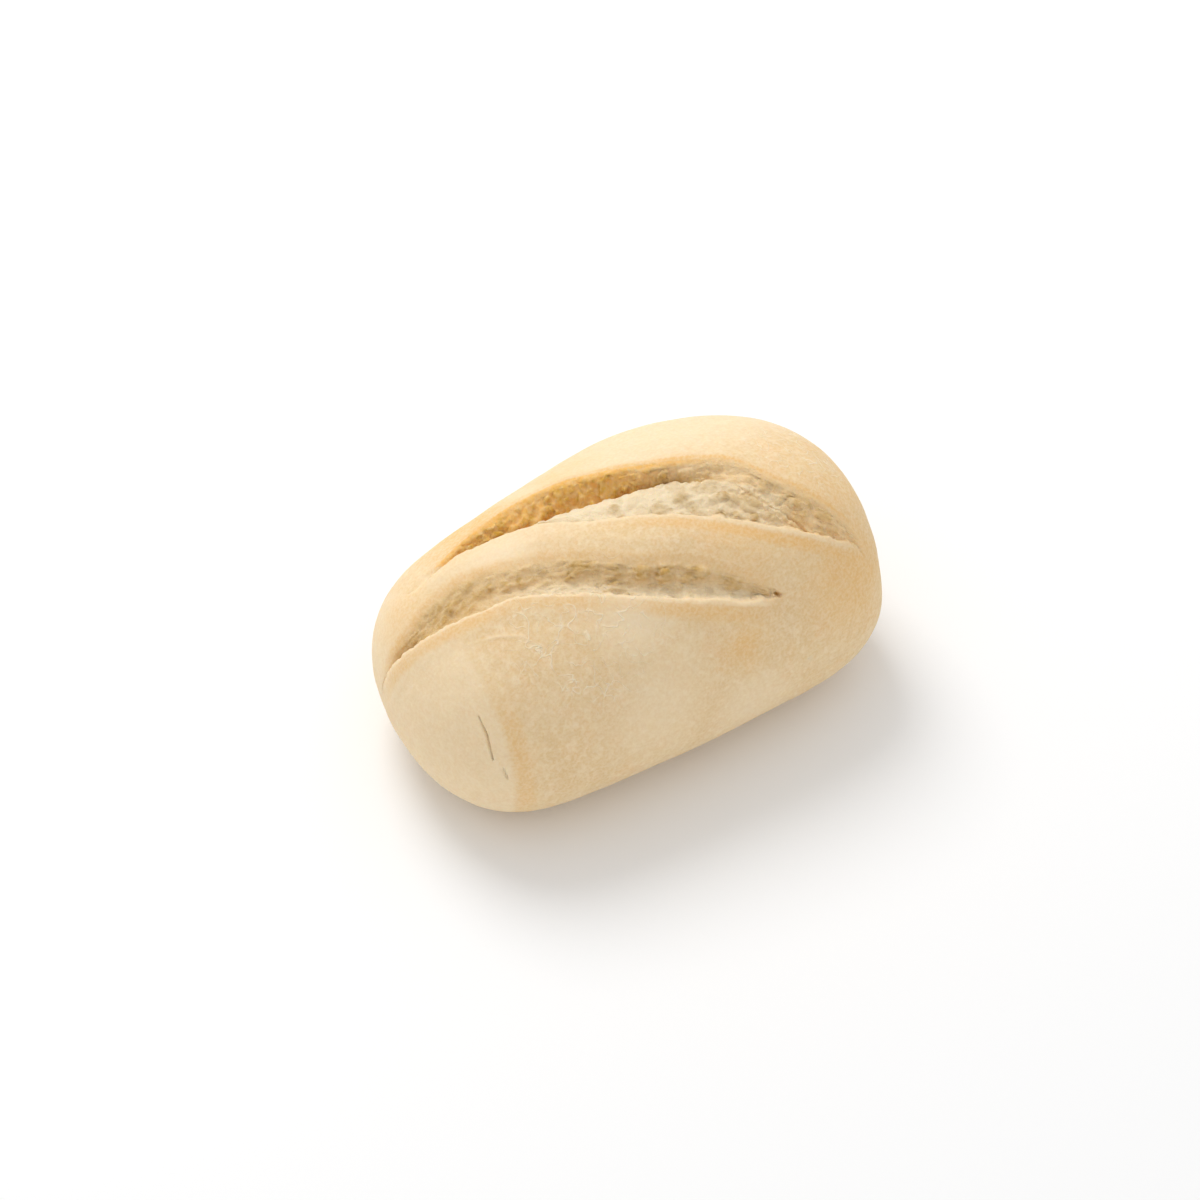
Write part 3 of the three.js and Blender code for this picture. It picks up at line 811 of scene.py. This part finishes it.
for share, shade in crust_coats:
    settings = [("data_type", "RGBA"), (6, linear(CREAM)), (7, linear(shade))]
    crust_colour = add_node(tree, "ShaderNodeMix", settings, [(0, share), *under]).outputs[2]
    under = [(6, crust_colour)]

# The crumb is white, its cells darkened by a tan painted shade; where it took the oven's heat it is
# golden, with an amber painted shade in its cells.
torn_colours = []
for wall_shade, painted_cell_shade in ((CRUMB, SHADED_CELL), (GOLDEN, SHADED_GOLDEN_CELL)):
    settings = [("data_type", "RGBA"), (6, linear(wall_shade)), (7, linear(painted_cell_shade))]
    torn_colour = add_node(tree, "ShaderNodeMix", settings, [(0, layer["crumb_shade"])])
    torn_colours.append(torn_colour.outputs[2])
torn_colour = add_node(tree, "ShaderNodeMix", [("data_type", "RGBA")],
                       [(0, layer["golden"]), (6, torn_colours[0]), (7, torn_colours[1])])
crumb_colour = add_node(tree, "ShaderNodeMix", [("data_type", "RGBA"), (7, linear(CRUMB))],
                        [(0, patches(0.9, 3.0, 0.5, 0.4, 0.7, 0.0, 0.3)), (6, torn_colour.outputs[2])])
colour = add_node(tree, "ShaderNodeMix", [("data_type", "RGBA")],
                  [(0, layer["crumb"]), (6, crust_colour), (7, crumb_colour.outputs[2])])

# The crust's grain and ripples, its wrinkles, and the pores between the crumb's cells.
pores = add_node(tree, "ShaderNodeMath", [("operation", "MULTIPLY")],
                 [(0, patches(0.7, 4.0, 0.7, 0.0, 1.0, -0.5, 0.5)), (1, layer["crumb"])])
fine_relief = (
    (patches(0.45, 3.0, 0.6, 0.0, 1.0), 0.35, 0.00012),
    (patches(2.6, 3.0, 0.5, 0.0, 1.0), 0.3, 0.0004),
    (wrinkles, 0.5, 0.0002),
    (pores.outputs["Value"], 0.7, 0.0006),
)
relief_under = []
for height, strength, distance in fine_relief:
    settings = [("Strength", strength), ("Distance", distance)]
    bump = add_node(tree, "ShaderNodeBump", settings, [("Height", height), *relief_under])
    relief_under = [("Normal", bump.outputs["Normal"])]
BREAD_SETTINGS = [
    ("Roughness", 0.8), ("Specular IOR Level", 0.25), ("Subsurface Weight", 0.25),
    ("Subsurface Radius", (1.0, 0.7, 0.35)), ("Subsurface Scale", 0.0009),
]
shader = add_node(tree, "ShaderNodeBsdfPrincipled", BREAD_SETTINGS,
                  [("Base Color", colour.outputs[2]), *relief_under])
add_node(tree, "ShaderNodeOutputMaterial", [], [("Surface", shader.outputs["BSDF"])])
roll_data.materials.append(bread)

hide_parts("bread_roll")
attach(roll, "root")


# --- The stage ---
# A plain white table, matt so that it takes a soft shadow, in an evenly white room with a wide soft
# light from above and behind.
TABLE = "#f7f7f7"
floor_mesh = bmesh.new()
bmesh.ops.create_grid(floor_mesh, x_segments=1, y_segments=1, size=3.0)
floor_data = bpy.data.meshes.new("floor")
floor_mesh.to_mesh(floor_data)
floor_mesh.free()
floor = bpy.data.objects.new("floor", floor_data)
bpy.context.scene.collection.objects.link(floor)
table = bpy.data.materials.new("white_table")
table.use_nodes = True
table.node_tree.nodes["Principled BSDF"].inputs["Base Color"].default_value = linear(TABLE)
table.node_tree.nodes["Principled BSDF"].inputs["Roughness"].default_value = 0.9
floor_data.materials.append(table)

bpy.context.scene.view_settings.view_transform = "Standard"
world = bpy.data.worlds.new("studio")
world.use_nodes = True
world.node_tree.nodes["Background"].inputs["Color"].default_value = (1, 1, 1, 1)
world.node_tree.nodes["Background"].inputs["Strength"].default_value = 0.765
bpy.context.scene.world = world

key_data = bpy.data.lights.new("key", "AREA")
key_data.shape = "DISK"
key_data.size = 0.45
key_data.energy = 3.45
key = bpy.data.objects.new("key", key_data)
key.location = (0.02, 0.5, 0.7)
key.rotation_euler = (-key.location).to_track_quat("-Z", "Y").to_euler()
bpy.context.scene.collection.objects.link(key)
